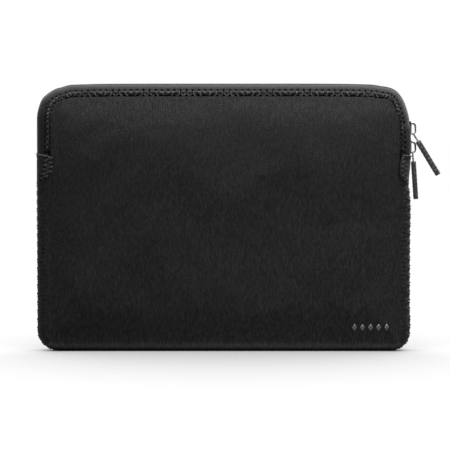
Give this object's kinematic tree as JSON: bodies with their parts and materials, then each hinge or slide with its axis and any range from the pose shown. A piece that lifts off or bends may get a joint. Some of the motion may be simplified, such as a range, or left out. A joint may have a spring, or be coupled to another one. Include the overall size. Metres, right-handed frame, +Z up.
{
  "type": "laptop sleeve",
  "caption": "Padded knit-faced foam rubber laptop sleeve with a shoulder-to-shoulder coil zip, metal sliders, corded wire pulls and a fold-open mouth.",
  "frame": {"origin": "middle of the bottom edge's contact line, halfway through the thickness", "axes": "+X along the width towards the zip sliders, +Y through the thickness from the front face to the back face, +Z up the face to the zip along the top"},
  "size_m": [0.3518, 0.0241, 0.233],
  "materials": {
    "knit": "fine ribbed black jersey",
    "foam": "closed-cell foam rubber",
    "lining": "brushed grey plush",
    "seam_thread": "black flatlock thread",
    "binding": "woven binding tape",
    "zip_tape": "twill zip tape",
    "zip_coil": "black nylon coil",
    "zip_thread": "dark grey sewing thread",
    "end_tab": "folded dense webbing",
    "slider_metal": "polished nickel",
    "lock_spring": "spring steel",
    "pull_wire": "bright wire",
    "pull_cord": "ribbed dark grey cord",
    "print": "grey transfer print"
  },
  "bodies": {
    "sleeve": {"front_panel_knit": "knit", "front_panel_foam": "foam", "front_panel_lining": "lining", "back_panel_knit": "knit", "back_panel_foam": "foam", "back_panel_lining": "lining", "edge_seam_thread": "seam_thread", "edge_seam_binding": "binding", "mouth_back_binding": "binding", "front_zip_tape_ends": "zip_tape", "back_zip_tape": "zip_tape", "front_zip_coil_end": "zip_coil", "back_zip_coil": "zip_coil", "front_zip_stitching_end": "zip_thread", "back_zip_stitching": "zip_thread", "left_end_tab": "end_tab", "right_end_tab": "end_tab", "left_tab_stitching": "zip_thread", "right_tab_stitching": "zip_thread", "printed_mark": "print"},
    "mouth": {"mouth_panel_knit": "knit", "mouth_panel_foam": "foam", "mouth_panel_lining": "lining", "mouth_front_binding": "binding", "front_zip_tape": "zip_tape", "front_zip_coil": "zip_coil", "front_zip_stitching": "zip_thread"},
    "upper_slider": {"upper_slider_body": "slider_metal", "upper_slider_crown": "slider_metal", "upper_slider_lock": "lock_spring"},
    "lower_slider": {"lower_slider_body": "slider_metal", "lower_slider_crown": "slider_metal", "lower_slider_lock": "lock_spring"},
    "upper_pull": {"upper_pull_wire": "pull_wire", "upper_pull_cord": "pull_cord"},
    "lower_pull": {"lower_pull_wire": "pull_wire", "lower_pull_cord": "pull_cord"}
  },
  "joints": [
    {"name": "mouth_fold", "type": "hinge", "parent": "sleeve", "child": "mouth", "pos_m": [0, -0.012, 0.189], "axis": [0.9958, 0, 0.0919], "range_deg": [0, 25], "stiffness_Nm_per_rad": 0.6},
    {"name": "upper_slider_run", "type": "hinge", "parent": "sleeve", "child": "upper_slider", "pos_m": [0.1275, 0, 0.198], "axis": [0, 1, 0], "range_deg": [-90, 0]},
    {"name": "lower_slider_run", "type": "slide", "parent": "sleeve", "child": "lower_slider", "axis": [0, 0, 1], "range_m": [0, 0.016]},
    {"name": "upper_pull_swing", "type": "hinge", "parent": "upper_slider", "child": "upper_pull", "pos_m": [0.1654, 0, 0.19], "axis": [0, -1, 0], "range_deg": [0, 120]},
    {"name": "lower_pull_swing", "type": "hinge", "parent": "lower_slider", "child": "lower_pull", "pos_m": [0.1654, 0, 0.1737], "axis": [0, -1, 0], "range_deg": [-4, 36]}
  ],
  "couplings": [
    {"joint": "lower_slider_run", "follows": "upper_slider_run", "m_per_rad": -0.010185}
  ]
}
